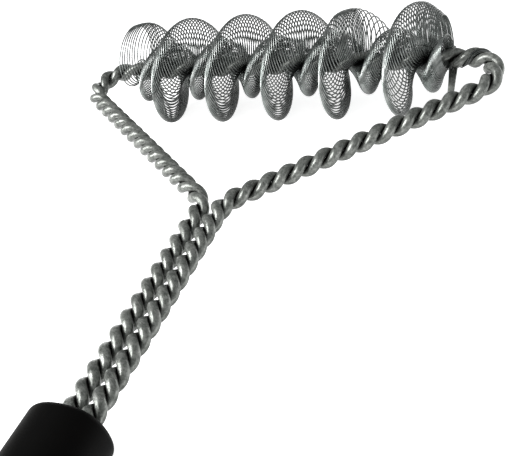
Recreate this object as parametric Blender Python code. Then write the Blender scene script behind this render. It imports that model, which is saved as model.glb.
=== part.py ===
"""Bristle-free grill brush: a twisted pair of wires bent into a triangular head, two springs
wound onto the head's cross-run, four fine tie strands, and a moulded handle.

All sizes are in millimetres and are turned into metres when a mesh is made. The design frame
has its origin where the two legs of the head meet the shaft: +X across the head, +Y from the
handle to the head, +Z up. One empty moves the whole brush, so that the world origin is at the
bottom centre of its bounding box.
"""
import math

import bmesh
import bpy
from mathutils import Vector

MM = 0.001

# Frame: one twisted pair runs handle - leg - corner - cross-run - corner - leg - handle.
WIRE_DIAMETER = 3.5
STRAND_OFFSET = 1.9             # strand axis to pair axis, 0.15 more than touching
PAIR_RADIUS = STRAND_OFFSET + WIRE_DIAMETER / 2
SHAFT_OFFSET = 3.66             # pair axis to the brush's middle plane, along the shaft
HEAD_LENGTH = 75.5              # legs' junction to the cross-run
HEAD_HALF_WIDTH = 82.0          # to the pair axis at the outermost point of a corner
CORNER_RADIUS = 10.4
JUNCTION_RADIUS = 12.0
HEAD_TILT = math.radians(5.1)   # the head rises from the shaft's plane
TILT_BLEND = 6.0                # half length of the soft bend between shaft and head
WIRE_END_Y = -140.0             # wire ends, inside the handle

# Twist, left-handed. Each stretch is (distance from the cross-run's middle, pitch).
CROSS_PITCH = 24.2
RIGHT_TWIST = ((64.0, CROSS_PITCH), (100.0, 14.5), (186.6, 13.34), (400.0, 13.6))
LEFT_TWIST = ((72.0, CROSS_PITCH), (101.0, 14.5), (176.6, 12.6), (203.5, 16.1), (400.0, 13.8))
TWIST_START = math.radians(78.6)    # strand A at the cross-run's middle, from the head's normal
STEPS_PER_TURN = 7
STRAND_SIDES = 5

# Springs: each is the hollow band that its loops fill, open towards the cross-run. The loops lie
# nearly square to the cross-run.
SPRING_WALL = 0.4
SPRING_TILT = math.radians(6.0)
BAND_MOUTH = math.radians(15.0)     # half angle left open towards the wires
LARGE_SPRING = {
    "reach": 20.6, "inner": 4.35, "half_width": 9.8, "from_x": -67.5, "to_x": 60.5,
    "lead": 0.0, "steps_per_turn": 12, "sides": 10,
}
SMALL_SPRING = {
    "reach": 12.0, "inner": 4.35, "half_width": 5.4, "from_x": -70.0, "to_x": 63.4,
    "lead": math.radians(203.0), "steps_per_turn": 10, "sides": 8,
}

# Tie strands, from over the cross-run's far side to behind the right leg.
TIE_COUNT = 4
TIE_DIAMETER = 0.5
TIE_SPACING = 0.82
TIE_CROSS_X = 65.1
TIE_LEG_X = 69.8
TIE_CROSS_WRAP = 4.35           # radius of the turn round the cross-run
TIE_CROSS_START = math.radians(60.0)    # where that turn starts, from the top
TIE_LEG_DEPTH = 4.85            # below the leg's axis
TIE_LEG_SHORT = 2.5             # the ends stop this far before they are under that axis
TIE_SIDES = 5
TIE_ARC_STEPS = 8

# Handle, measured back from its front face.
HANDLE_FRONT_Y = -95.3
HANDLE_LENGTH = 215.2
HANDLE_STATIONS = (
    # distance from the front, half width, half thickness
    (0.0, 11.2, 10.0),
    (0.6, 12.3, 11.1),
    (2.0, 12.9, 11.7),
    (22.0, 13.2, 11.9),
    (48.0, 13.2, 11.7),
    (78.0, 13.9, 12.3),
    (108.0, 14.6, 13.0),
    (138.0, 14.3, 12.6),
    (166.0, 13.2, 11.3),
    (188.0, 12.4, 10.0),
    (204.0, 11.6, 8.8),
    (211.0, 9.4, 7.4),
    (214.2, 6.2, 5.4),
    (215.2, 3.0, 3.0),
)
HANDLE_SIDES = 28
HANDLE_SQUARENESS = 2.3         # exponent of the section's superellipse
POCKET_CLEARANCE = 0.35
POCKET_DEPTH = 46.0
TAIL_START = 186.0              # the tail behind here has a flat land on each side
TAIL_HALF_THICKNESS = 6.0
TAIL_RAMP = 9.0
HANG_HOLE_Y = 200.0
HANG_HOLE_WIDTH = 8.0
HANG_HOLE_LENGTH = 15.0

STEEL = (0.40, 0.41, 0.40, 1.0)
SPRING_STEEL = (0.50, 0.51, 0.50, 1.0)
BLACK = (0.012, 0.012, 0.013, 1.0)


def clear_scene():
    """Remove every object, so that the script gives the same result each run."""
    for item in list(bpy.data.objects):
        bpy.data.objects.remove(item, do_unlink=True)


def make_material(name, color, roughness, metallic):
    """A Principled material with one colour."""
    material = bpy.data.materials.new(name)
    material.use_nodes = True
    shader = material.node_tree.nodes["Principled BSDF"]
    shader.inputs["Base Color"].default_value = color
    shader.inputs["Roughness"].default_value = roughness
    shader.inputs["Metallic"].default_value = metallic
    return material


def object_from(name, points, faces, material, parent, sharp_degrees=50.0):
    """A smooth-shaded mesh object from points in millimetres."""
    mesh = bpy.data.meshes.new(name)
    mesh.from_pydata([Vector(p) * MM for p in points], [], faces)
    body = bmesh.new()
    body.from_mesh(mesh)
    bmesh.ops.recalc_face_normals(body, faces=body.faces)
    body.to_mesh(mesh)
    body.free()
    mesh.shade_smooth()
    mesh.set_sharp_from_angle(angle=math.radians(sharp_degrees))
    mesh.materials.append(material)
    item = bpy.data.objects.new(name, mesh)
    bpy.context.collection.objects.link(item)
    item.parent = parent
    return item


def sweep(sections):
    """Points and faces of a closed body through equal rings, with a cap on each end."""
    count = len(sections[0])
    points = [point for ring in sections for point in ring]
    faces = []
    for ring in range(len(sections) - 1):
        for side in range(count):
            near = ring * count + side
            near_next = ring * count + (side + 1) % count
            faces.append((near, near_next, near_next + count, near + count))
    faces.append(tuple(reversed(range(count))))
    faces.append(tuple(range(len(points) - count, len(points))))
    return points, faces


# ---------------------------------------------------------------- the pair's centreline

def fillet(before, corner, after, radius, steps=10):
    """Points of the arc that rounds a corner."""
    to_before = (before - corner).normalized()
    to_after = (after - corner).normalized()
    half = to_before.angle(to_after) / 2
    centre = corner + (to_before + to_after).normalized() * radius / math.sin(half)
    start = corner + to_before * radius / math.tan(half)
    end = corner + to_after * radius / math.tan(half)
    first = (start - centre).normalized()
    sweep_angle = first.angle((end - centre).normalized())
    across = ((end - centre) - first * (end - centre).dot(first)).normalized()
    angles = [sweep_angle * k / steps for k in range(steps + 1)]
    return [centre + radius * (first * math.cos(a) + across * math.sin(a)) for a in angles]


def sharp_corner_x():
    """Where cross-run and leg would meet, so that the rounded corner is HEAD_HALF_WIDTH out."""
    reach = HEAD_HALF_WIDTH
    for _ in range(60):
        slope = math.atan2(HEAD_LENGTH, reach - SHAFT_OFFSET)
        reach = HEAD_HALF_WIDTH - CORNER_RADIUS + CORNER_RADIUS / math.tan(slope / 2)
    return reach


def lift(flat):
    """A point of the flat outline, with the head tilted up about the junction."""
    along = flat.y
    if along <= -TILT_BLEND:
        return Vector((flat.x, along, 0.0))
    if along < TILT_BLEND:
        rise = math.sin(HEAD_TILT) * (along + TILT_BLEND) ** 2 / (4 * TILT_BLEND)
        return Vector((flat.x, along, rise))
    return Vector((flat.x, along * math.cos(HEAD_TILT), along * math.sin(HEAD_TILT)))


def half_centreline(side):
    """Centreline from the cross-run's middle to the wire's end, on side +1 or -1."""
    middle = Vector((0.0, HEAD_LENGTH, 0.0))
    corner = Vector((sharp_corner_x(), HEAD_LENGTH, 0.0))
    junction = Vector((SHAFT_OFFSET, 0.0, 0.0))
    end = Vector((SHAFT_OFFSET, WIRE_END_Y, 0.0))
    outline = [middle]
    outline += fillet(middle, corner, junction, CORNER_RADIUS, steps=14)
    outline += fillet(corner, junction, end, JUNCTION_RADIUS)
    outline.append(end)
    points = []
    for a, b in zip(outline, outline[1:]):
        pieces = max(1, round((b - a).length / 1.5))
        points += [a.lerp(b, k / pieces) for k in range(pieces)]
    points.append(end)
    lifted = [lift(p) for p in points]
    return [Vector((p.x * side, p.y, p.z)) for p in lifted]


class Run:
    """A polyline that is read by its length."""

    def __init__(self, points):
        self.points = points
        self.marks = [0.0]
        for a, b in zip(points, points[1:]):
            self.marks.append(self.marks[-1] + (b - a).length)

    @property
    def length(self):
        return self.marks[-1]

    def at(self, distance):
        distance = min(max(distance, 0.0), self.length)
        index = 0
        while self.marks[index + 1] < distance:
            index += 1
        span = self.marks[index + 1] - self.marks[index]
        return self.points[index].lerp(self.points[index + 1],
                                       (distance - self.marks[index]) / span)

    def direction(self, distance, reach=1.2):
        return (self.at(distance + reach) - self.at(distance - reach)).normalized()


def twist_steps(stretches, length):
    """Pairs of distance and twist angle along one half, equal steps of twist."""
    steps = [(0.0, 0.0)]
    distance = 0.0
    turned = 0.0
    while distance < length:
        pitch = next(p for end, p in stretches if distance < end)
        distance += pitch / STEPS_PER_TURN
        turned += 2 * math.pi / STEPS_PER_TURN
        steps.append((min(distance, length), turned))
    return steps


# ---------------------------------------------------------------- the frame's two wires

def strand_ring(centre, direction, angle, turn_rate):
    """One ring of a strand: it lies square to the strand, with a flat side to the pair's axis."""
    up = (Vector((0, 0, 1)) - direction * direction.z).normalized()
    side = direction.cross(up)
    out = up * math.cos(angle) + side * math.sin(angle)
    around = direction.cross(out)
    along = (direction + around * STRAND_OFFSET * turn_rate).normalized()
    across = along.cross(out)
    radius = WIRE_DIAMETER / 2
    ring = []
    for k in range(STRAND_SIDES):
        turn = 2 * math.pi * k / STRAND_SIDES
        offset = out * math.cos(turn) + across * math.sin(turn)
        ring.append(centre + out * STRAND_OFFSET + offset * radius)
    return ring


def strand_rings(phase):
    """Every ring of one wire, from its left end round the head to its right end."""
    rings = []
    for side, stretches in ((-1, LEFT_TWIST), (1, RIGHT_TWIST)):
        run = Run(half_centreline(side))
        half = []
        for distance, turned in twist_steps(stretches, run.length):
            direction = run.direction(distance) * side
            pitch = next(p for end, p in stretches if distance < end)
            angle = TWIST_START + phase - side * turned
            half.append(strand_ring(run.at(distance), direction, angle, -2 * math.pi / pitch))
        rings = half[::-1] if side < 0 else rings + half[1:]
    return rings


def build_wires(parent, material):
    for name, phase in (("frame_wire_a", 0.0), ("frame_wire_b", math.pi)):
        points, faces = sweep(strand_rings(phase))
        object_from(name, points, faces, material, parent)


# ---------------------------------------------------------------- the springs

def cross_run_point(x):
    return lift(Vector((x, HEAD_LENGTH, 0.0)))


def strand_direction(x):
    """Unit vector from the cross-run's axis to strand A."""
    angle = TWIST_START - 2 * math.pi * x / CROSS_PITCH
    normal = Vector((0, -math.sin(HEAD_TILT), math.cos(HEAD_TILT)))
    return normal * math.cos(angle) + Vector((1, 0, 0)).cross(normal) * math.sin(angle)


def band_outline(spring):
    """The band's C-shaped section as (radial, sideways) points, outer side then inner side."""
    middle = (spring["reach"] + spring["inner"]) / 2
    radial = (spring["reach"] - spring["inner"]) / 2
    sides = spring["sides"]
    span = math.pi - BAND_MOUTH
    angles = [-span + 2 * span * k / (sides - 1) for k in range(sides)]
    outer = [(middle + radial * math.cos(a), spring["half_width"] * math.sin(a)) for a in angles]
    inner_radial = radial - SPRING_WALL
    inner_width = spring["half_width"] - SPRING_WALL
    inner = [(middle + inner_radial * math.cos(a), inner_width * math.sin(a)) for a in angles]
    return outer + inner[::-1]


def build_spring(name, spring, parent, material):
    outline = band_outline(spring)
    turns = (spring["to_x"] - spring["from_x"]) / CROSS_PITCH
    steps = math.ceil(turns * spring["steps_per_turn"])
    lead_x = -spring["lead"] * CROSS_PITCH / (2 * math.pi)
    axis = Vector((1, 0, 0))
    rings = []
    for step in range(steps + 1):
        x = spring["from_x"] + (spring["to_x"] - spring["from_x"]) * step / steps
        out = strand_direction(x + lead_x)
        forward = -axis.cross(out)
        sideways = axis * math.sin(SPRING_TILT) - forward * math.cos(SPRING_TILT)
        centre = cross_run_point(x)
        rings.append([centre + out * radial + sideways * across for radial, across in outline])
    points, faces = sweep(rings)
    object_from(name, points, faces, material, parent)


# ---------------------------------------------------------------- the tie strands

def leg_point(x):
    """The right leg's axis where it passes x."""
    slope = HEAD_LENGTH / (sharp_corner_x() - SHAFT_OFFSET)
    return lift(Vector((x, (x - SHAFT_OFFSET) * slope, 0.0)))


def tie_route(shift):
    """A strand's route: over the cross-run's far side, straight across, and behind the leg."""
    top = cross_run_point(TIE_CROSS_X)
    bottom = leg_point(TIE_LEG_X)
    down = (bottom - top).normalized()
    up = (Vector((0, 0, 1)) - down * down.z).normalized()
    aside = down.cross(up) * shift
    route = []
    for k in range(TIE_ARC_STEPS + 1):
        angle = TIE_CROSS_START + (math.pi - TIE_CROSS_START) * k / TIE_ARC_STEPS
        turn = up * math.cos(angle) - down * math.sin(angle)
        route.append(top + aside + turn * TIE_CROSS_WRAP)
    route.append(bottom + aside - up * TIE_LEG_DEPTH - down * TIE_LEG_SHORT)
    return route


def build_ties(parent, material):
    for number in range(TIE_COUNT):
        route = tie_route((number - (TIE_COUNT - 1) / 2) * TIE_SPACING)
        rings = []
        for index, point in enumerate(route):
            ahead = route[min(index + 1, len(route) - 1)]
            behind = route[max(index - 1, 0)]
            along = (ahead - behind).normalized()
            aside = along.cross(Vector((1, 0, 0))).normalized()
            other = along.cross(aside)
            ring = []
            for k in range(TIE_SIDES):
                turn = 2 * math.pi * k / TIE_SIDES
                offset = aside * math.cos(turn) + other * math.sin(turn)
                ring.append(point + offset * TIE_DIAMETER / 2)
            rings.append(ring)
        points, faces = sweep(rings)
        object_from(f"tie_strand_{number + 1}", points, faces, material, parent)


# ---------------------------------------------------------------- the handle

def superellipse(half_width, half_thickness, y):
    """One section of the handle, in the handle's own frame."""
    power = 2 / HANDLE_SQUARENESS
    ring = []
    for k in range(HANDLE_SIDES):
        turn = 2 * math.pi * k / HANDLE_SIDES
        c = math.cos(turn)
        s = math.sin(turn)
        x = half_width * math.copysign(abs(c) ** power, c)
        z = half_thickness * math.copysign(abs(s) ** power, s)
        ring.append(Vector((x, y, z)))
    return ring


def stadium(half_length, radius, steps=6):
    """A slot outline with round ends, long along its first axis."""
    outline = []
    for end in (1, -1):
        for k in range(steps + 1):
            turn = math.pi * (k / steps - 0.5)
            outline.append((end * (half_length + radius * math.cos(turn)),
                            end * radius * math.sin(turn)))
    return outline


def cutter(name, points, faces, parent):
    """A closed helper body that a Boolean subtracts."""
    item = object_from(name, points, faces, None, parent)
    item.hide_render = True
    item.display_type = "WIRE"
    return item


def subtract(item, tool):
    modifier = item.modifiers.new(tool.name, "BOOLEAN")
    modifier.operation = "DIFFERENCE"
    modifier.solver = "EXACT"
    modifier.object = tool


def tail_cutter(name, side, parent):
    """A wedge-nosed block that leaves one flat land on the tail."""
    width = 20.0
    low = TAIL_HALF_THICKNESS
    high = 20.0
    profile = [(-TAIL_START + TAIL_RAMP, high), (-TAIL_START, low),
               (-HANDLE_LENGTH - 5.0, low), (-HANDLE_LENGTH - 5.0, high)]
    rings = [[Vector((x, y, z * side)) for y, z in profile] for x in (-width, width)]
    points, faces = sweep(rings)
    return cutter(name, points, faces, parent)


def build_handle(parent, material):
    front = bpy.data.objects.new("handle_frame", None)
    bpy.context.collection.objects.link(front)
    front.parent = parent
    front.location = Vector((0, HANDLE_FRONT_Y, 0)) * MM
    rings = [superellipse(w, t, -y) for y, w, t in HANDLE_STATIONS]
    points, faces = sweep(rings)
    handle = object_from("handle", points, faces, material, front, sharp_degrees=40.0)

    pocket = stadium(SHAFT_OFFSET, PAIR_RADIUS + POCKET_CLEARANCE)
    rings = [[Vector((x, y, z)) for x, z in pocket] for y in (-POCKET_DEPTH, 5.0)]
    subtract(handle, cutter("pocket_cutter", *sweep(rings), front))

    for name, side in (("tail_cutter_top", 1), ("tail_cutter_bottom", -1)):
        subtract(handle, tail_cutter(name, side, front))

    hole = stadium((HANG_HOLE_LENGTH - HANG_HOLE_WIDTH) / 2, HANG_HOLE_WIDTH / 2)
    rings = [[Vector((x, y - HANG_HOLE_Y, z)) for y, x in hole] for z in (-15.0, 15.0)]
    subtract(handle, cutter("hang_hole_cutter", *sweep(rings), front))


def stand_on_origin(brush):
    """Move the brush, so that its bounding box stands with its bottom centre on the origin."""
    bpy.context.view_layer.update()
    solids = [item for item in bpy.data.objects if item.type == "MESH" and not item.hide_render]
    corners = [item.matrix_world @ v.co for item in solids for v in item.data.vertices]
    low = [min(corner[k] for corner in corners) for k in range(3)]
    high = [max(corner[k] for corner in corners) for k in range(3)]
    brush.location = (-(low[0] + high[0]) / 2, -(low[1] + high[1]) / 2, -low[2])


def main():
    clear_scene()
    brush = bpy.data.objects.new("brush", None)
    bpy.context.collection.objects.link(brush)
    steel = make_material("frame_steel", STEEL, 0.45, 1.0)
    spring_steel = make_material("spring_steel", SPRING_STEEL, 0.32, 1.0)
    plastic = make_material("handle_plastic", BLACK, 0.42, 0.0)
    build_wires(brush, steel)
    build_spring("spring_large", LARGE_SPRING, brush, spring_steel)
    build_spring("spring_small", SMALL_SPRING, brush, spring_steel)
    build_ties(brush, spring_steel)
    build_handle(brush, plastic)
    stand_on_origin(brush)


main()
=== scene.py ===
import math

import bmesh
import bpy
import numpy as np
from mathutils import Matrix, Vector


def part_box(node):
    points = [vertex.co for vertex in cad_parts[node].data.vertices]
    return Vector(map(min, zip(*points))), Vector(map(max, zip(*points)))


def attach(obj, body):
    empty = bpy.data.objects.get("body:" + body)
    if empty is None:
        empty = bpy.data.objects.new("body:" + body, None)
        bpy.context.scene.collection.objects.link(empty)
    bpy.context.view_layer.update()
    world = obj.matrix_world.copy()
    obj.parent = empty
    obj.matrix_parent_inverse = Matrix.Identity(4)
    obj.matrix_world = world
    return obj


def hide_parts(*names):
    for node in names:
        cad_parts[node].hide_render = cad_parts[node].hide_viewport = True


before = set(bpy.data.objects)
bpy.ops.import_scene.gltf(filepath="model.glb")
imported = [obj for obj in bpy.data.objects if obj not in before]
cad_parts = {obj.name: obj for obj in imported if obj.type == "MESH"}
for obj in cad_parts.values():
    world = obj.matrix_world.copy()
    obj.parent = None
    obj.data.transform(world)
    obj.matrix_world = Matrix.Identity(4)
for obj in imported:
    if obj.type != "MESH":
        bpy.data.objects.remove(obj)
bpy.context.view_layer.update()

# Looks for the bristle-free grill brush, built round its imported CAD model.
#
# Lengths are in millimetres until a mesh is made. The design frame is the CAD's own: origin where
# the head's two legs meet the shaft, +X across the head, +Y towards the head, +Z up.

MM = 0.001

# ------------------------------------------------------------------ measures

WIRE_RADIUS = 1.79              # the frame's wire
STRAND_OFFSET = 1.80            # strand axis to pair axis, 0.01 more than touching
PINCH_OFFSET = 1.88             # the same where springs are pinched between the strands
SHAFT_OFFSET = 3.66
HEAD_LENGTH = 75.5
HEAD_HALF_WIDTH = 82.0
CORNER_RADIUS = 10.4
JUNCTION_RADIUS = 12.0
HEAD_TILT = math.radians(5.1)
TILT_BLEND = 6.0
WIRE_END_Y = -140.0

CROSS_PITCH = 24.2
RIGHT_TWIST = ((64.0, CROSS_PITCH), (100.0, 14.5), (186.6, 13.34), (400.0, 13.6))
LEFT_TWIST = ((72.0, CROSS_PITCH), (101.0, 14.5), (176.6, 12.6), (203.5, 16.1), (400.0, 13.8))
TWIST_START = math.radians(78.6)
PINCH_END = 66.0                # the springs are pinched up to here from the head's middle

FINE_RADIUS = 0.268             # the large coil's wire, and the loose ends
SMALL_FINE_RADIUS = 0.232       # the small coil's wire
LOOP_SPACING = 0.45             # along the cross-run, from one loop of the large coil to the next
SMALL_LOOP_SPACING = 0.47
LOOP_TILT = math.radians(6.5)
LARGE_DIAMETER = 20.6
WIDE_DIAMETER = 25.0            # of the large coil's first loops, which go round both strands
SMALL_DIAMETER = 11.7
SMALL_LEAD = math.radians(200.0)    # from the strand the large coil is on to the small coil's
LEAN_ALONG = np.array((-0.458, 0.658, -0.597))      # away from the head's front and down
LEAN_UP = np.array((-0.040, 0.656, 0.754))          # square to it, up

TIE_COUNT = 4
TIE_RADIUS = 0.40
TIE_SPACING = 0.82
TIE_CROSS_X = 64.9
TIE_LEG_X = 68.8
TIE_WRAP = 4.35                 # radius of the turn over the cross-run
TIE_WRAP_START = math.radians(60.0)     # where that turn starts, from the top
TIE_DEPTH = 4.85                # the ends' place below the leg's axis
TIE_SHORT = 2.5                 # the ends stop this far before they are under that axis
TIE_GATHER = 0.62               # their spacing at the ends, as a part of TIE_SPACING
TIE_BOW = 0.12

HANDLE_FRONT_Y = -95.3
HANDLE_LENGTH = 215.2
HANDLE_STATIONS = (
    # distance from the front, half width, half thickness
    (2.0, 12.9, 11.7),
    (22.0, 13.2, 11.9),
    (48.0, 13.2, 11.7),
    (78.0, 13.9, 12.3),
    (108.0, 14.6, 13.0),
    (138.0, 14.3, 12.6),
    (166.0, 13.2, 11.3),
    (188.0, 12.4, 10.0),
    (204.0, 11.6, 8.8),
)
HANDLE_SIDES = 96
HANDLE_SQUARENESS = 2.3
POCKET_HALF_WIDTH = 7.66
POCKET_HALF_HEIGHT = 4.0
POCKET_DEPTH = 46.0
TAIL_START = 186.0
TAIL_HALF_THICKNESS = 6.0
TAIL_RAMP = 9.0
HANG_HOLE_Y = 200.0
HANG_HOLE_LENGTH = 15.0
HANG_HOLE_WIDTH = 8.0
FRONT_ROUNDING = 2.6
REAR_ROUNDING = 13.0

CAMERA_PLACE = (161.929, -214.607, 184.181)
CAMERA_RIGHT = (0.88786, 0.36963, -0.27400)
CAMERA_UP = (-0.04031, 0.65570, 0.75394)
CAMERA_LENS = 68.006
FLOOR_REACH = 30.0              # metres
FLOOR_DROP = 0.0011             # metres; the lowest loops reach almost so far below zero

handle_low, handle_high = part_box("handle")
DESIGN_ORIGIN = np.array((
    (handle_low.x + handle_high.x) / 2 / MM,
    handle_high.y / MM - HANDLE_FRONT_Y,
    (handle_low.z + handle_high.z) / 2 / MM,
))


# ------------------------------------------------------------------ the pair's centreline

def unit(vectors):
    return vectors / np.linalg.norm(vectors, axis=-1, keepdims=True)


def fillet(before, corner, after, radius, steps):
    """Points of the arc that rounds a corner of a flat outline."""
    to_before = unit(before - corner)
    to_after = unit(after - corner)
    half = math.acos(float(to_before @ to_after)) / 2
    centre = corner + unit(to_before + to_after) * radius / math.sin(half)
    start = unit(corner + to_before * radius / math.tan(half) - centre)
    end = unit(corner + to_after * radius / math.tan(half) - centre)
    across = unit(end - start * (end @ start))
    turns = np.linspace(0.0, math.acos(float(start @ end)), steps)[:, None]
    return list(centre + radius * (start * np.cos(turns) + across * np.sin(turns)))


def sharp_corner_x():
    reach = HEAD_HALF_WIDTH
    for _ in range(60):
        slope = math.atan2(HEAD_LENGTH, reach - SHAFT_OFFSET)
        reach = HEAD_HALF_WIDTH - CORNER_RADIUS + CORNER_RADIUS / math.tan(slope / 2)
    return reach


def lift(flat):
    """Flat outline points with the head tilted up about the legs' junction."""
    x, y = flat[:, 0], flat[:, 1]
    rise = math.sin(HEAD_TILT) * (y + TILT_BLEND) ** 2 / (4 * TILT_BLEND)
    z = np.where(y <= -TILT_BLEND, 0.0, np.where(y < TILT_BLEND, rise, y * math.sin(HEAD_TILT)))
    y = np.where(y < TILT_BLEND, y, y * math.cos(HEAD_TILT))
    return np.stack([x, y, z], axis=1)


def even(points, step):
    """The polyline with points at even steps, and each point's distance along it."""
    marks = np.concatenate([[0.0], np.cumsum(np.linalg.norm(np.diff(points, axis=0), axis=1))])
    at = np.linspace(0.0, marks[-1], max(2, round(marks[-1] / step) + 1))
    return np.stack([np.interp(at, marks, points[:, k]) for k in range(points.shape[1])], 1), at


def half_centreline(step=0.3):
    middle = np.array((0.0, HEAD_LENGTH))
    corner = np.array((sharp_corner_x(), HEAD_LENGTH))
    junction = np.array((SHAFT_OFFSET, 0.0))
    end = np.array((SHAFT_OFFSET, WIRE_END_Y))
    outline = [middle]
    outline += fillet(middle, corner, junction, CORNER_RADIUS, 48)
    outline += fillet(corner, junction, end, JUNCTION_RADIUS, 32)
    outline.append(end)
    flat, _ = even(np.array(outline), 0.2)
    return even(lift(flat), step)


def twist(distances, stretches):
    """Twist angle at each distance from the head's middle; the pitch changes softly."""
    step = 0.25
    grid = np.arange(0.0, distances[-1] + 8.0, step)
    pitch = np.select([grid < end for end, _ in stretches], [p for _, p in stretches])
    rate = 2 * math.pi / pitch
    soft = np.convolve(np.pad(rate, 8, mode="edge"), np.ones(17) / 17, mode="valid")
    total = np.concatenate([[0.0], np.cumsum((soft[1:] + soft[:-1]) / 2 * step)])
    return np.interp(distances, grid, total)


def pair_centreline():
    """The whole pair from the left wire end round the head to the right wire end:
    points, signed distances from the head's middle, and strand A's angle from the top."""
    right, far = half_centreline()
    left = right * np.array((-1.0, 1.0, 1.0))
    points = np.concatenate([left[:0:-1], right])
    signed = np.concatenate([-far[:0:-1], far])
    angle = np.concatenate([TWIST_START + twist(far, LEFT_TWIST)[:0:-1],
                            TWIST_START - twist(far, RIGHT_TWIST)])
    return points, signed, angle


PAIR_POINTS, PAIR_SIGNED, PAIR_ANGLE = pair_centreline()
PAIR_ALONG = unit(np.gradient(PAIR_POINTS, axis=0))
PAIR_UP = unit(np.array((0.0, 0.0, 1.0)) - PAIR_ALONG * PAIR_ALONG[:, 2:3])
PAIR_SIDE = np.cross(PAIR_ALONG, PAIR_UP)


def cross_run_point(x):
    """Points of the cross-run's axis at these x."""
    x = np.asarray(x, float)
    return lift(np.stack([x, np.full_like(x, HEAD_LENGTH)], axis=1))


def cross_run_direction(angle):
    """Unit vectors across the cross-run, at an angle from the head's normal."""
    normal = np.array((0.0, -math.sin(HEAD_TILT), math.cos(HEAD_TILT)))
    other = np.cross((1.0, 0.0, 0.0), normal)
    return normal * np.cos(angle)[:, None] + other * np.sin(angle)[:, None]


# ------------------------------------------------------------------ meshes

def place(item, replaces):
    """Ride on the CAD's only body, and stand for CAD nodes."""
    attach(item, "root")
    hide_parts(*replaces)


def mesh_object(name, points, faces, material):
    """A smooth mesh from points in the design frame."""
    mesh = bpy.data.meshes.new(name)
    mesh.from_pydata((np.asarray(points) + DESIGN_ORIGIN) * MM, [], faces)
    mesh.materials.append(material)
    mesh.shade_smooth()
    item = bpy.data.objects.new(name, mesh)
    bpy.context.scene.collection.objects.link(item)
    return item


def tube_parts(path, radius, reference, sides):
    """Points, faces and texture places of a round wire along a path."""
    along = unit(np.gradient(path, axis=0))
    first = unit(reference - along * np.sum(reference * along, axis=1, keepdims=True))
    second = np.cross(along, first)
    count = len(path)
    turn = np.linspace(0.0, 2 * math.pi, sides, endpoint=False)
    ring = (first[:, None] * np.cos(turn)[None, :, None]
            + second[:, None] * np.sin(turn)[None, :, None])
    radius = np.broadcast_to(np.asarray(radius, float), (count,))
    points = (path[:, None] + ring * radius[:, None, None]).reshape(-1, 3)
    length = np.concatenate([[0.0], np.cumsum(np.linalg.norm(np.diff(path, axis=0), axis=1))])
    places = np.stack([
        np.broadcast_to(np.cos(turn), (count, sides)) * radius[:, None],
        np.broadcast_to(np.sin(turn), (count, sides)) * radius[:, None],
        np.broadcast_to(length[:, None], (count, sides)),
    ], axis=-1).reshape(-1, 3)
    start = (np.arange(count - 1) * sides)[:, None]
    near = np.arange(sides)
    next_near = np.roll(near, -1)
    quads = np.stack([start + near, start + next_near,
                      start + next_near + sides, start + near + sides], axis=-1).reshape(-1, 4)
    faces = quads.tolist()
    faces.append(list(range(sides))[::-1])
    faces.append(list(range((count - 1) * sides, count * sides)))
    return points, faces, places


def wire_object(name, runs, material, sides):
    """One object of one or more round wires, with each point's place along its wire kept for
    the material. A run is a path, a radius and a reference direction."""
    points, faces, places = [], [], []
    total = 0
    for path, radius, reference in runs:
        more, more_faces, more_places = tube_parts(path, radius, reference, sides)
        faces += [[k + total for k in face] for face in more_faces]
        total += len(more)
        points.append(more)
        places.append(more_places)
    item = mesh_object(name, np.concatenate(points), faces, material)
    kept = item.data.attributes.new("wire_place", "FLOAT_VECTOR", "POINT")
    kept.data.foreach_set("vector", (np.concatenate(places) * MM).astype(np.float32).ravel())
    return item


def keep_depth(item, depth):
    """Keep a value from 0 to 1 for each point: how deep it lies between the strands."""
    kept = item.data.attributes.new("depth", "FLOAT", "POINT")
    kept.data.foreach_set("value", depth.astype(np.float32))


def soft_step(value, low, high):
    part = np.clip((value - low) / (high - low), 0.0, 1.0)
    return part * part * (3 - 2 * part)


# ------------------------------------------------------------------ materials

def material_with(name):
    material = bpy.data.materials.new(name)
    material.use_nodes = True
    return material, material.node_tree.nodes, material.node_tree.links


def add(nodes, kind, **values):
    """A node, with its properties and plain input values set."""
    node = nodes.new(kind)
    for key, value in values.items():
        if key.startswith("in_"):
            node.inputs[key[3:].replace("_", " ")].default_value = value
        else:
            setattr(node, key, value)
    return node


def ramp(nodes, links, value, *stops):
    """A colour ramp fed by a value; a stop is a place and a colour or a grey."""
    item = nodes.new("ShaderNodeValToRGB")
    while len(item.color_ramp.elements) < len(stops):
        item.color_ramp.elements.new(0.5)
    for element, (at, colour) in zip(item.color_ramp.elements, stops):
        element.position = at
        tone = colour if isinstance(colour, tuple) else (colour, colour, colour)
        element.color = (*tone, 1.0)
    links.new(value, item.inputs["Fac"])
    return item.outputs["Color"]


def noise(nodes, links, vector, scale, detail=4.0, rough=0.6):
    item = add(nodes, "ShaderNodeTexNoise", in_Scale=scale, in_Detail=detail,
               in_Roughness=rough)
    links.new(vector, item.inputs["Vector"])
    return item.outputs["Fac"]


def stretched(nodes, links, vector, scale):
    item = nodes.new("ShaderNodeMapping")
    item.inputs["Scale"].default_value = scale
    links.new(vector, item.inputs["Vector"])
    return item.outputs["Vector"]


def blend_colours(nodes, links, kind, amount, first, second):
    """Mix two colours; the amount is a number or a socket."""
    item = add(nodes, "ShaderNodeMix", data_type="RGBA", blend_type=kind)
    if isinstance(amount, float):
        item.inputs[0].default_value = amount
    else:
        links.new(amount, item.inputs[0])
    for slot, value in ((6, first), (7, second)):
        if isinstance(value, tuple):
            item.inputs[slot].default_value = (*value, 1.0)
        else:
            links.new(value, item.inputs[slot])
    return item.outputs[2]


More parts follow.
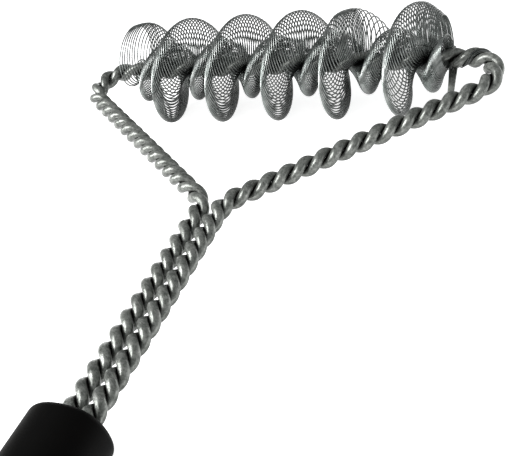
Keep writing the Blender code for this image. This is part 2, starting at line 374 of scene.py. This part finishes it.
def raised(nodes, links, height, distance, strength, before=None):
    item = add(nodes, "ShaderNodeBump", in_Strength=strength, in_Distance=distance)
    links.new(height, item.inputs["Height"])
    if before is not None:
        links.new(before, item.inputs["Normal"])
    return item.outputs["Normal"]


def painted_underside_shade(nodes, links, tone, least):
    """Painted shade: darken what faces down, the more the further its normal points down."""
    facing = nodes.new("ShaderNodeSeparateXYZ")
    links.new(nodes.new("ShaderNodeNewGeometry").outputs["Normal"], facing.inputs["Vector"])
    spread = add(nodes, "ShaderNodeMapRange", interpolation_type="SMOOTHSTEP")
    spread.inputs["From Min"].default_value = -0.75
    spread.inputs["From Max"].default_value = 0.55
    spread.inputs["To Min"].default_value = least
    spread.inputs["To Max"].default_value = 1.0
    links.new(facing.outputs["Z"], spread.inputs["Value"])
    return blend_colours(nodes, links, "MULTIPLY", 1.0, tone, spread.outputs["Result"])


def zinc_steel(name, film_and_underside_shade=0.34, painted_light_gain=1.0):
    """Dull galvanised wire: mottled zinc, faint drawn lines, painted shade in the grooves. What
    faces down gets painted shade, down to the second argument's share of its tone; the third
    scales it as painted light."""
    material, nodes, links = material_with(name)
    shader = nodes["Principled BSDF"]
    along = add(nodes, "ShaderNodeAttribute", attribute_name="wire_place").outputs["Vector"]
    depth = add(nodes, "ShaderNodeAttribute", attribute_name="depth").outputs["Fac"]
    place_of = nodes.new("ShaderNodeTexCoord").outputs["Object"]

    clouds = noise(nodes, links, place_of, 420.0, 5.0, 0.65)
    specks = noise(nodes, links, place_of, 1300.0, 3.0, 0.7)
    lines = noise(nodes, links, stretched(nodes, links, along, (1.0, 1.0, 0.045)), 2300.0, 3.0)
    patches = noise(nodes, links, stretched(nodes, links, along, (1.0, 1.0, 0.3)), 520.0, 4.0)

    stops = ((0.32, (0.120, 0.128, 0.118)), (0.50, (0.225, 0.236, 0.220)),
             (0.70, (0.370, 0.380, 0.360)))
    zinc = ramp(nodes, links, clouds,
                *((at, tuple(painted_light_gain * part for part in tone)) for at, tone in stops))
    lined = ramp(nodes, links, lines, (0.30, 0.72), (0.55, 1.0), (0.75, 1.12))
    tone = blend_colours(nodes, links, "MULTIPLY", 0.75, zinc, lined)
    dust = ramp(nodes, links, specks, (0.38, 0.45), (0.50, 1.0), (0.64, 1.30))
    tone = blend_colours(nodes, links, "MULTIPLY", 0.65, tone, dust)
    # painted shade: what faces down is darkened to the share of its tone that the second argument
    # gives
    tone = painted_underside_shade(nodes, links, tone, film_and_underside_shade)
    # painted shade: the grooves between the strands go nearly black, by each point's depth
    painted_groove_shade = ramp(nodes, links, depth, (0.10, 0.0), (0.75, 0.94))
    tone = blend_colours(nodes, links, "MIX", painted_groove_shade, tone, (0.012, 0.012, 0.011))
    links.new(tone, shader.inputs["Base Color"])

    shine = ramp(nodes, links, patches, (0.30, 0.22), (0.52, 0.32), (0.75, 0.47))
    links.new(shine, shader.inputs["Roughness"])
    shader.inputs["Metallic"].default_value = 0.55
    shader.inputs["Specular IOR Level"].default_value = 0.4
    normal = raised(nodes, links, clouds, 0.00006, 0.5)
    normal = raised(nodes, links, lines, 0.00003, 0.5, normal)
    normal = raised(nodes, links, specks, 0.00002, 0.4, normal)
    links.new(normal, shader.inputs["Normal"])
    return material


def spring_steel(name):
    """Bright hard-drawn wire with a grey film that comes and goes along it, painted shade on the
    flanks that the next loops touch, painted light on the faces between, and painted shade on
    what faces down."""
    material, nodes, links = material_with(name)
    shader = nodes["Principled BSDF"]
    along = add(nodes, "ShaderNodeAttribute", attribute_name="wire_place").outputs["Vector"]
    place_of = nodes.new("ShaderNodeTexCoord").outputs["Object"]
    film_and_underside_shade = noise(nodes, links, place_of, 210.0, 4.0, 0.6)
    lines = noise(nodes, links, stretched(nodes, links, along, (1.0, 1.0, 0.03)), 6200.0, 2.0)
    runs = noise(nodes, links, stretched(nodes, links, along, (0.2, 0.2, 1.0)), 260.0, 3.0)

    steel = ramp(nodes, links, film_and_underside_shade, (0.30, (0.170, 0.190, 0.180)), (0.50, (0.280, 0.300, 0.290)),
                 (0.72, (0.440, 0.450, 0.440)))
    drawn = ramp(nodes, links, lines, (0.30, 0.70), (0.60, 1.05))
    tone = blend_colours(nodes, links, "MULTIPLY", 0.7, steel, drawn)
    worn = ramp(nodes, links, runs, (0.35, 0.74), (0.65, 1.12))
    tone = blend_colours(nodes, links, "MULTIPLY", 0.8, tone, worn)
    # painted shade: what faces down is darkened to 0.38 of its tone
    tone = painted_underside_shade(nodes, links, tone, 0.38)
    across = nodes.new("ShaderNodeSeparateXYZ")
    links.new(along, across.inputs["Vector"])
    part = add(nodes, "ShaderNodeMath", operation="MULTIPLY")
    part.inputs[1].default_value = 1.0 / (FINE_RADIUS * MM)
    links.new(across.outputs["X"], part.inputs[0])
    flank = add(nodes, "ShaderNodeMath", operation="ABSOLUTE")
    links.new(part.outputs["Value"], flank.inputs[0])
    # painted shade on the flanks that face the next loops, and painted light on the faces between
    # them
    painted_flank_shade = ramp(nodes, links, flank.outputs["Value"], (0.40, 1.35), (0.95, 0.12))
    tone = blend_colours(nodes, links, "MULTIPLY", 1.0, tone, painted_flank_shade)
    links.new(tone, shader.inputs["Base Color"])
    shine = ramp(nodes, links, film_and_underside_shade, (0.30, 0.20), (0.70, 0.34))
    links.new(shine, shader.inputs["Roughness"])
    shader.inputs["Metallic"].default_value = 1.0
    links.new(raised(nodes, links, lines, 0.00001, 0.5), shader.inputs["Normal"])
    return material


def black_plastic(name):
    """Moulded black plastic with a fine spark-eroded grain and faint handling marks."""
    material, nodes, links = material_with(name)
    shader = nodes["Principled BSDF"]
    place_of = nodes.new("ShaderNodeTexCoord").outputs["Object"]
    grain = noise(nodes, links, place_of, 2600.0, 3.0, 0.55)
    swirl = noise(nodes, links, place_of, 42.0, 4.0, 0.6)
    marks = noise(nodes, links, stretched(nodes, links, place_of, (1.0, 0.12, 1.0)), 900.0, 3.0)
    pigment = ramp(nodes, links, swirl, (0.30, (0.0016, 0.0016, 0.0016)),
                   (0.70, (0.0030, 0.0027, 0.0025)))
    scuffs = ramp(nodes, links, marks, (0.62, 0.0), (0.80, 0.08))
    tone = blend_colours(nodes, links, "MIX", scuffs, pigment, (0.030, 0.029, 0.028))
    links.new(tone, shader.inputs["Base Color"])
    shine = ramp(nodes, links, swirl, (0.30, 0.46), (0.70, 0.60))
    links.new(shine, shader.inputs["Roughness"])
    shader.inputs["Specular IOR Level"].default_value = 0.04
    normal = raised(nodes, links, grain, 0.00004, 0.55)
    links.new(raised(nodes, links, marks, 0.00002, 0.3, normal), shader.inputs["Normal"])
    return material


# ------------------------------------------------------------------ the frame's wires

def strand_path(phase):
    """A strand's centreline and its direction away from the pair's axis."""
    angle = PAIR_ANGLE + phase
    out = PAIR_UP * np.cos(angle)[:, None] + PAIR_SIDE * np.sin(angle)[:, None]
    pinched = np.clip((PINCH_END + 6.0 - np.abs(PAIR_SIGNED)) / 6.0, 0.0, 1.0)
    offset = STRAND_OFFSET + (PINCH_OFFSET - STRAND_OFFSET) * pinched
    return PAIR_POINTS + out * offset[:, None], out


def build_wires(material):
    """The twisted pair; each point's depth grows towards the pair's axis."""
    sides = 24
    for letter, phase in (("a", 0.0), ("b", math.pi)):
        path, out = strand_path(phase)
        item = wire_object(f"wire_{letter}", [(path, WIRE_RADIUS, out)], material, sides)
        points, _, _ = tube_parts(path, WIRE_RADIUS, out, sides)
        from_axis = np.linalg.norm(points - np.repeat(PAIR_POINTS, sides, axis=0), axis=1)
        keep_depth(item, 1.0 - soft_step(from_axis, 1.35, 2.75))
        place(item, replaces=[f"frame_wire_{letter}"])


# ------------------------------------------------------------------ the tie strands

def leg_point(x):
    """The right leg's axis where it passes x."""
    slope = HEAD_LENGTH / (sharp_corner_x() - SHAFT_OFFSET)
    return lift(np.array([(x, (x - SHAFT_OFFSET) * slope)]))[0]


def build_ties(material):
    """Four fine wires from over the cross-run's far side to behind the right leg."""
    top = cross_run_point([TIE_CROSS_X])[0]
    bottom = leg_point(TIE_LEG_X)
    down = unit(bottom - top)
    up = unit(np.array((0.0, 0.0, 1.0)) - down * down[2])
    aside = np.cross(down, up)
    for number in range(TIE_COUNT):
        place_in_row = number - (TIE_COUNT - 1) / 2
        shift = place_in_row * TIE_SPACING
        turn = np.linspace(TIE_WRAP_START, math.pi, 20)[:, None]
        wrap = top + aside * shift + (up * np.cos(turn) - down * np.sin(turn)) * TIE_WRAP
        end = bottom + aside * shift * TIE_GATHER - up * TIE_DEPTH - down * TIE_SHORT
        part = np.linspace(0.0, 1.0, 40)[1:, None]
        bow = -np.sin(part * math.pi) * TIE_BOW * place_in_row
        run = wrap[-1] + (end - wrap[-1]) * part + aside * bow
        path = np.concatenate([wrap, run])
        side = np.broadcast_to(aside, path.shape)
        item = wire_object(f"tie_wire_{number + 1}", [(path, TIE_RADIUS, side)], material, 12)
        place(item, replaces=[f"tie_strand_{number + 1}"])


# ------------------------------------------------------------------ the springs

def between(x, *knots):
    """Straight-line values between pairs of place and value."""
    return np.interp(x, knots[0::2], knots[1::2])


def strand_angle(x):
    return TWIST_START - 2 * math.pi * x / CROSS_PITCH


def irregular(loop, seed, amount):
    """A small smooth value for each loop that wanders with no pattern."""
    rng = np.random.default_rng(seed)
    values = rng.normal(0.0, 1.0, 600)
    values = 0.45 * values + np.convolve(values, np.ones(9) / 3.0, mode="same")
    return amount * np.interp(loop, np.arange(600), values)


def coil_path(places, angles, diameters, starts, lifts, turned, leans, tipped, looseness,
              steps, seed):
    """A coil whose every loop starts near the cross-run's axis and swings out from it.

    Each list has one value for each loop: its place along the cross-run, the direction it
    points in, its diameter, how far from the axis it starts, how much it is lifted, how much it
    is turned away and leans sideways, how much its tip is drawn back along the cross-run, and
    how much it wanders.
    """
    count = len(places)
    loop = np.linspace(0.0, count - 1.0, (count - 1) * steps + 1)
    index = np.arange(count)
    loose = np.interp(loop, index, looseness)
    x = np.interp(loop, index, places) + irregular(loop, seed + 3, 0.055 * loose)
    angle = np.interp(loop, index, angles) + irregular(loop, seed, 0.006 * loose)
    radius = np.interp(loop, index, diameters) / 2 + irregular(loop, seed + 1, 0.022 * loose)
    start = np.interp(loop, index, starts)
    rise = np.interp(loop, index, lifts)
    turn_away = np.interp(loop, index, turned)
    lean = np.interp(loop, index, leans) + irregular(loop, seed + 2, 0.003 * loose)
    tip = np.interp(loop, index, tipped)
    out = cross_run_direction(angle)
    axis = np.array((1.0, 0.0, 0.0))
    across = np.cross(axis, out)
    normal = (axis * math.cos(LOOP_TILT) - across * math.sin(LOOP_TILT) + out * tip[:, None]
              - LEAN_ALONG * turn_away[:, None] + LEAN_UP * lean[:, None])
    normal = unit(normal)
    out = unit(out - normal * np.sum(out * normal, axis=1, keepdims=True))
    sideways = np.cross(normal, out)
    turn = 2 * math.pi * loop[:, None]
    path = (cross_run_point(x) + LEAN_UP * rise[:, None]
            + out * (start[:, None] + radius[:, None] * (1 - np.cos(turn)))
            + sideways * radius[:, None] * np.sin(turn))
    return path, normal


def walk(start, end, spacing):
    """Places of the loops along the cross-run, with a spacing that varies with the place."""
    places = [start]
    while places[-1] < end:
        places.append(places[-1] + float(spacing(places[-1])))
    return np.array(places)


def common_lift(x):
    """How much the loops of both coils hang below the axis, and how much they turn away."""
    return between(x, -40, -0.7, 50, -0.1), between(x, -20, 0.0, 50, 0.13)


def large_coil():
    """The large coil: a few wide loops round both strands first, then loops on one strand.
    Near one lobe its loops have been pushed together on one side and drawn out on the other,
    and at the right end they bunch, turn more slowly and get loose."""
    first, wide_end, last_top = -68.6, -64.6, 56.4
    x = walk(first, 61.0, lambda at: LOOP_SPACING * between(
        at, -69.0, 1.5, -65.0, 1.4, -60.0, 1.2, -56.0, 1.0, 22.0, 1.0, 24.0, 0.85,
        30.0, 0.85, 31.5, 2.3, 40.0, 2.3, 42.0, 1.0, 54.0, 1.0, 57.0, 0.8))
    settled = soft_step(x, -70.5, -58.0)
    on_strand = strand_angle(x) + np.radians(between(
        x, -60, 0, -20, 2, 5, 3, 20, 2, 23.5, -8, 27, -38, 31, -16, 35, -4, 50, 0))
    on_strand = on_strand - 2 * math.pi * 3
    round_both = np.radians(between(x, first, -12, wide_end, -41))
    angles = np.where(x < wide_end, round_both, on_strand)
    slower = angles + 0.32 * (strand_angle(last_top) - strand_angle(x))
    angles = np.where(x > last_top, slower, angles)
    diameter = between(x, -68, 20.8, -40, LARGE_DIAMETER, 20, LARGE_DIAMETER, 28, 20.0,
                       34, 19.4, 42, 19.6, 46, 20.5, 57, 20.5, 61, 19.4)
    diameter = diameter + (WIDE_DIAMETER - diameter) * (1 - settled)
    start = -5.0 * (1 - settled)
    rise, turned = common_lift(x)
    lean = between(x, -15, 0.0, 20, 0.045, 50, 0.10) - 0.23 * (1 - settled)
    tip = between(x, 57.5, 0.0, 61.0, 0.06)
    looseness = between(x, 54, 1.0, 58, 2.6)
    return coil_path(x, angles, diameter, start, rise, turned, lean, tip, looseness, 36, 11)


def small_coil():
    """The small coil, on the other strand; its last loops lie closer and lean open."""
    x = walk(-70.0, 65.2, lambda at: SMALL_LOOP_SPACING * between(at, 62.6, 1.0, 63.6, 0.5))
    angles = strand_angle(x) + SMALL_LEAD
    diameter = SMALL_DIAMETER + between(x, -70, -1.5, -66, 0.0)
    rise, turned = common_lift(x)
    lean = between(x, -15, 0.0, 50, 0.04, 60, 0.04, 65, -0.14)
    none = np.zeros_like(x)
    return coil_path(x, angles, diameter, none, rise, turned, lean, none, none + 0.3, 28, 23)


def groove_wires():
    """The coils' ends: fine wires drawn out along the pair's groove at the right end."""
    runs = []
    rng = np.random.default_rng(5)
    for number, (begin, end) in enumerate(((57.0, 83.0), (59.5, 86.0), (61.0, 80.0))):
        near = (PAIR_SIGNED > begin) & (PAIR_SIGNED < end)
        count = np.count_nonzero(near)
        wander = np.convolve(rng.normal(0, 1.0, count + 40), np.ones(41) / 9, "valid")
        angle = PAIR_ANGLE[near] + math.radians(58.0 + 16.0 * number) + wander * 0.05
        out = PAIR_UP[near] * np.cos(angle)[:, None] + PAIR_SIDE[near] * np.sin(angle)[:, None]
        away = between(np.degrees(angle - PAIR_ANGLE[near]), 0, 3.9, 60, 3.30, 90, 2.6, 120, 3.3)
        path = PAIR_POINTS[near] + out * away[:, None]
        runs.append((path, FINE_RADIUS, out))
    return runs


def build_springs(material):
    path, normal = large_coil()
    place(wire_object("coil_large", [(path, FINE_RADIUS, normal)], material, 6),
          replaces=["spring_large"])
    path, normal = small_coil()
    runs = [(path, SMALL_FINE_RADIUS, normal)] + groove_wires()
    place(wire_object("coil_small", runs, material, 6),
          replaces=["spring_small"])


# ------------------------------------------------------------------ the handle

def handle_half_sizes(y):
    """Half width and half thickness at a distance behind the front face, rounded at both ends."""
    knots = np.array(HANDLE_STATIONS)
    grid = np.linspace(-12.0, HANDLE_LENGTH + 12.0, 1200)
    rows = []
    for column in (1, 2):
        values = np.interp(grid, knots[:, 0], knots[:, column])
        window = np.hanning(101)
        values = np.convolve(np.pad(values, 50, mode="edge"), window / window.sum(), "valid")
        rows.append(np.interp(y, grid, values))
    front = np.clip((FRONT_ROUNDING - y) / FRONT_ROUNDING, 0.0, 1.0)
    rear = np.clip((y - (HANDLE_LENGTH - REAR_ROUNDING)) / REAR_ROUNDING, 0.0, 1.0)
    cut = FRONT_ROUNDING * (1 - np.sqrt(1 - np.minimum(front, 0.9999) ** 2))
    shrink = np.sqrt(1 - np.minimum(rear, 0.985) ** 2.3)
    return (rows[0] - cut) * shrink, (rows[1] - cut) * (0.35 + 0.65 * shrink)


def handle_body():
    """The handle's outer skin, closed at both ends, in its own frame."""
    front = FRONT_ROUNDING * (1 - np.cos(np.linspace(0.0, math.pi / 2, 10)))
    rear = HANDLE_LENGTH - REAR_ROUNDING * (1 - np.sin(np.linspace(0.0, math.pi / 2 * 0.985, 22)))
    stations = np.concatenate([front, np.arange(5.0, HANDLE_LENGTH - 14.0, 2.5), rear])
    width, thick = handle_half_sizes(stations)
    turn = np.linspace(0.0, 2 * math.pi, HANDLE_SIDES, endpoint=False)
    power = 2 / HANDLE_SQUARENESS
    x = np.sign(np.cos(turn)) * np.abs(np.cos(turn)) ** power
    z = np.sign(np.sin(turn)) * np.abs(np.sin(turn)) ** power
    points = np.stack([
        width[:, None] * x, np.broadcast_to(-stations[:, None], (len(stations), HANDLE_SIDES)),
        thick[:, None] * z], axis=-1).reshape(-1, 3)
    start = (np.arange(len(stations) - 1) * HANDLE_SIDES)[:, None]
    near = np.arange(HANDLE_SIDES)
    beside = np.roll(near, -1)
    faces = np.stack([start + near, start + near + HANDLE_SIDES,
                      start + beside + HANDLE_SIDES, start + beside], axis=-1)
    faces = faces.reshape(-1, 4).tolist()
    faces.append(near.tolist())
    faces.append((near + (len(stations) - 1) * HANDLE_SIDES).tolist()[::-1])
    return points, faces


def stadium(half_length, radius, steps=20):
    """A slot outline with round ends, long along its first axis."""
    turn = math.pi * (np.linspace(0.0, 1.0, steps + 1) - 0.5)
    right = np.stack([half_length + radius * np.cos(turn), radius * np.sin(turn)], axis=1)
    return np.concatenate([right, -right])


def prism(outline, low, high, axis):
    """A closed body from an outline across an axis, from low to high along it."""
    count = len(outline)
    rings = []
    for level in (low, high):
        rings.append(np.insert(outline, axis, level, axis=1))
    near = np.arange(count)
    beside = np.roll(near, -1)
    faces = np.stack([near, beside, beside + count, near + count], axis=-1).tolist()
    faces.append(near.tolist()[::-1])
    faces.append((near + count).tolist())
    return np.concatenate(rings), faces


def solid(name, points, faces):
    """A helper body, with its faces turned outward."""
    mesh = bpy.data.meshes.new(name)
    mesh.from_pydata((np.asarray(points) + (0.0, HANDLE_FRONT_Y, 0.0) + DESIGN_ORIGIN) * MM,
                     [], faces)
    shape = bmesh.new()
    shape.from_mesh(mesh)
    bmesh.ops.recalc_face_normals(shape, faces=shape.faces)
    shape.to_mesh(mesh)
    shape.free()
    item = bpy.data.objects.new(name, mesh)
    bpy.context.scene.collection.objects.link(item)
    return item


def build_handle(material):
    body = solid("grip", *handle_body())
    pocket = stadium(POCKET_HALF_WIDTH - POCKET_HALF_HEIGHT, POCKET_HALF_HEIGHT)
    slot = stadium((HANG_HOLE_LENGTH - HANG_HOLE_WIDTH) / 2, HANG_HOLE_WIDTH / 2)[:, ::-1]
    slot = slot - (0.0, HANG_HOLE_Y)
    land = np.array(((-TAIL_START + TAIL_RAMP, 20.0), (-TAIL_START, TAIL_HALF_THICKNESS),
                     (-HANDLE_LENGTH - 5.0, TAIL_HALF_THICKNESS), (-HANDLE_LENGTH - 5.0, 20.0)))
    cutters = [
        solid("pocket_cut", *prism(pocket, -POCKET_DEPTH, 5.0, 1)),
        solid("slot_cut", *prism(slot, -15.0, 15.0, 2)),
        solid("upper_cut", *prism(land, -20.0, 20.0, 0)),
        solid("lower_cut", *prism(land * (1.0, -1.0), -20.0, 20.0, 0)),
    ]
    for tool in cutters:
        modifier = body.modifiers.new(tool.name, "BOOLEAN")
        modifier.operation = "DIFFERENCE"
        modifier.solver = "EXACT"
        modifier.object = tool
    edge = body.modifiers.new("edges", "BEVEL")
    edge.limit_method = "ANGLE"
    edge.angle_limit = math.radians(34.0)
    edge.width = 0.55 * MM
    edge.segments = 3
    bpy.context.view_layer.update()
    shaped = body.evaluated_get(bpy.context.evaluated_depsgraph_get())
    mesh = bpy.data.meshes.new_from_object(shaped)
    body.modifiers.clear()
    body.data = mesh
    for tool in cutters:
        bpy.data.objects.remove(tool)
    mesh.materials.clear()
    mesh.materials.append(material)
    mesh.shade_smooth()
    mesh.set_sharp_from_angle(angle=math.radians(40.0))
    place(body, replaces=["handle"])


# ------------------------------------------------------------------ stage

def build_stage():
    corners = [(FLOOR_REACH * a, FLOOR_REACH * b, 0)
               for a, b in ((-1, -1), (1, -1), (1, 1), (-1, 1))]
    mesh = bpy.data.meshes.new("floor")
    mesh.from_pydata(corners, [], [(0, 1, 2, 3)])
    floor = bpy.data.objects.new("floor", mesh)
    bpy.context.scene.collection.objects.link(floor)
    floor.location.z = -FLOOR_DROP
    material, nodes, links = material_with("floor_white")
    shader = nodes["Principled BSDF"]
    shader.inputs["Base Color"].default_value = (0.9, 0.9, 0.9, 1.0)
    shader.inputs["Roughness"].default_value = 0.9
    shader.inputs["Emission Color"].default_value = (1.0, 1.0, 1.0, 1.0)
    shader.inputs["Emission Strength"].default_value = 0.8
    mesh.materials.append(material)

    world = bpy.data.worlds.new("studio")
    world.use_nodes = True
    world.node_tree.nodes["Background"].inputs["Color"].default_value = (0.9, 0.92, 0.92, 1.0)
    world.node_tree.nodes["Background"].inputs["Strength"].default_value = 0.42
    bpy.context.scene.world = world


def area_light(name, position, target, size, power):
    lamp = bpy.data.lights.new(name, "AREA")
    lamp.shape = "RECTANGLE"
    lamp.size, lamp.size_y = size
    lamp.energy = power
    item = bpy.data.objects.new(name, lamp)
    item.location = position
    item.rotation_euler = (Vector(target) - Vector(position)).to_track_quat("-Z", "Y").to_euler()
    bpy.context.scene.collection.objects.link(item)


def build_camera():
    """The camera, placed by its own axes in the design frame."""
    right = Vector(CAMERA_RIGHT).normalized()
    up = Vector(CAMERA_UP)
    view = up.cross(right).normalized()
    up = right.cross(view)
    data = bpy.data.cameras.new("camera")
    data.lens = CAMERA_LENS
    data.sensor_width = 36.0
    data.clip_start = 0.01
    data.dof.use_dof = False
    camera = bpy.data.objects.new("camera", data)
    turn = Matrix((right, up, -view)).transposed().to_4x4()
    position = (Vector(CAMERA_PLACE) + Vector(DESIGN_ORIGIN)) * MM
    camera.matrix_world = Matrix.Translation(position) @ turn
    bpy.context.scene.collection.objects.link(camera)
    bpy.context.scene.camera = camera


def main():
    zinc = zinc_steel("frame_steel")
    fine = spring_steel("spring_steel")
    plastic = black_plastic("handle_plastic")
    build_camera()
    build_wires(zinc)
    build_springs(fine)
    # painted light: the ties take a copy of the frame's steel painted 1.7 times lighter, with
    # less painted shade below
    build_ties(zinc_steel("tie_steel_painted_lighter", 0.8, 1.7))
    build_handle(plastic)
    build_stage()
    area_light("key", (-0.60, -0.38, 0.80), (0, 0.08, 0), (0.6, 0.6), 12)
    area_light("side", (-0.92, -0.36, 0.32), (0, 0.1, 0), (0.45, 0.3), 5)
    bpy.context.scene.view_settings.view_transform = "Standard"


main()
